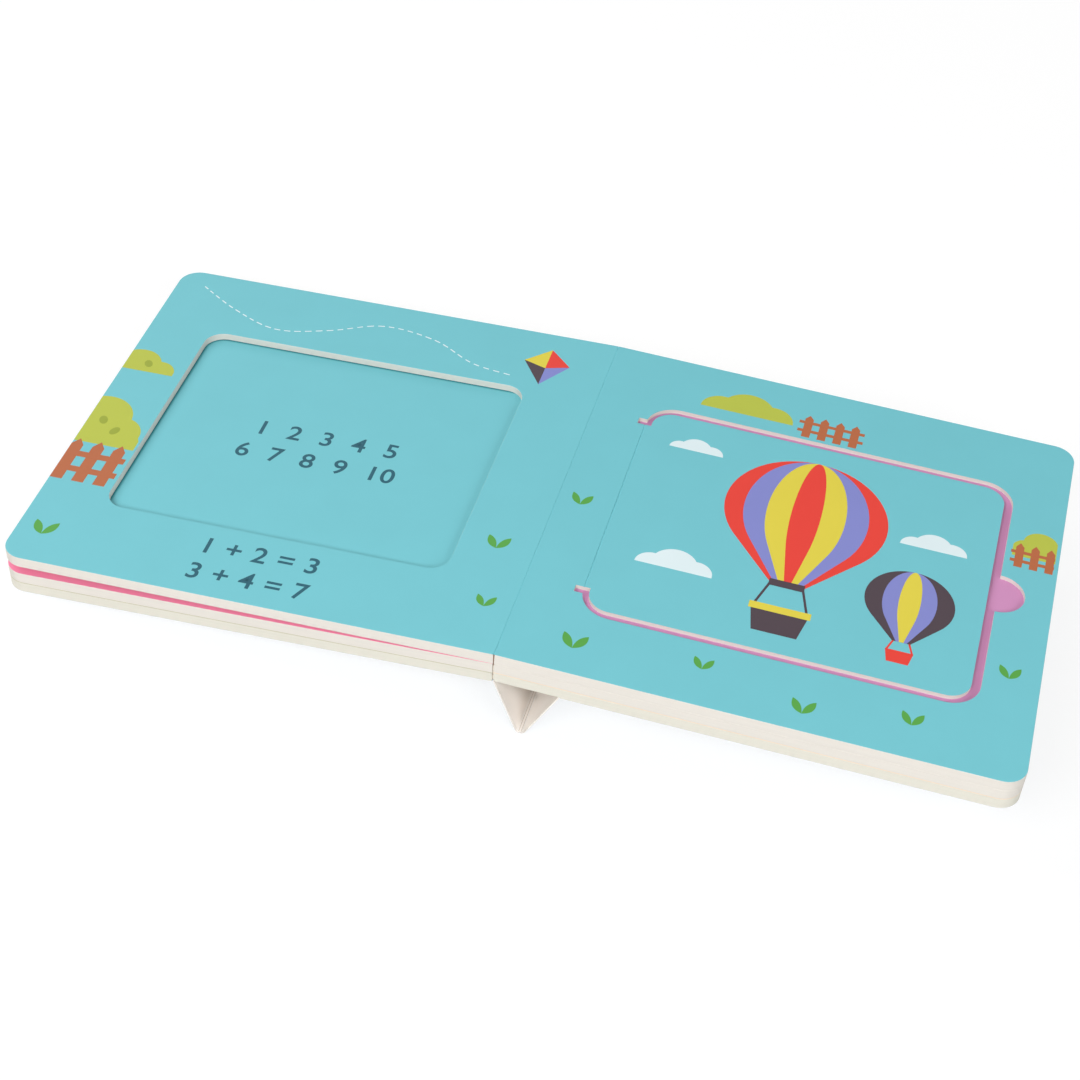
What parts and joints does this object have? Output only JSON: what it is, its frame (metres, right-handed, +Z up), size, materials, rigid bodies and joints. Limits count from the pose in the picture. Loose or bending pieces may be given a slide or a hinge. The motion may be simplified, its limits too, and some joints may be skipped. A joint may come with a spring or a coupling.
{
  "type": "open lift-the-flap board book",
  "caption": "Thick board childrens book lying open, with a die-cut lift flap, a window recess and a hollow folding spine; its front half folds over to close it.",
  "frame": {"origin": "centre of the bounding box on the surface the open book lies on", "axes": "+X from the left-hand page to the right-hand page, +Y along the gutter to the head of the pages, +Z up"},
  "size_m": [0.3594, 0.18, 0.041],
  "materials": {
    "page_board": "satin",
    "cover_board": "satin",
    "cover_card": "matte"
  },
  "bodies": {
    "back_half": {"back_cover": "cover_board", "right_pages": "page_board"},
    "front_half": {"front_cover": "cover_board", "left_pages": "page_board"},
    "spine_panel": {"spine_panel": "cover_card"},
    "hinge_strip": {"hinge_strip": "cover_card"}
  },
  "joints": [
    {"name": "cover_fold", "type": "hinge", "parent": "back_half", "child": "front_half", "pos_m": [-0.00064, 0, 0.03416], "axis": [0, 1, 0], "range_deg": [0, 183.46]},
    {"name": "spine_fold", "type": "hinge", "parent": "front_half", "child": "spine_panel", "pos_m": [0.0006, 0, 0.02167], "axis": [0, 1, 0], "range_deg": [-156, 0]},
    {"name": "strip_fold", "type": "hinge", "parent": "back_half", "child": "hinge_strip", "pos_m": [0.02344, 0, 0.02214], "axis": [0, 1, 0], "range_deg": [0, 64]}
  ],
  "couplings": [
    {"joint": "spine_fold", "follows": "cover_fold", "ratio": -0.8436},
    {"joint": "strip_fold", "follows": "cover_fold", "ratio": 0.34591}
  ]
}
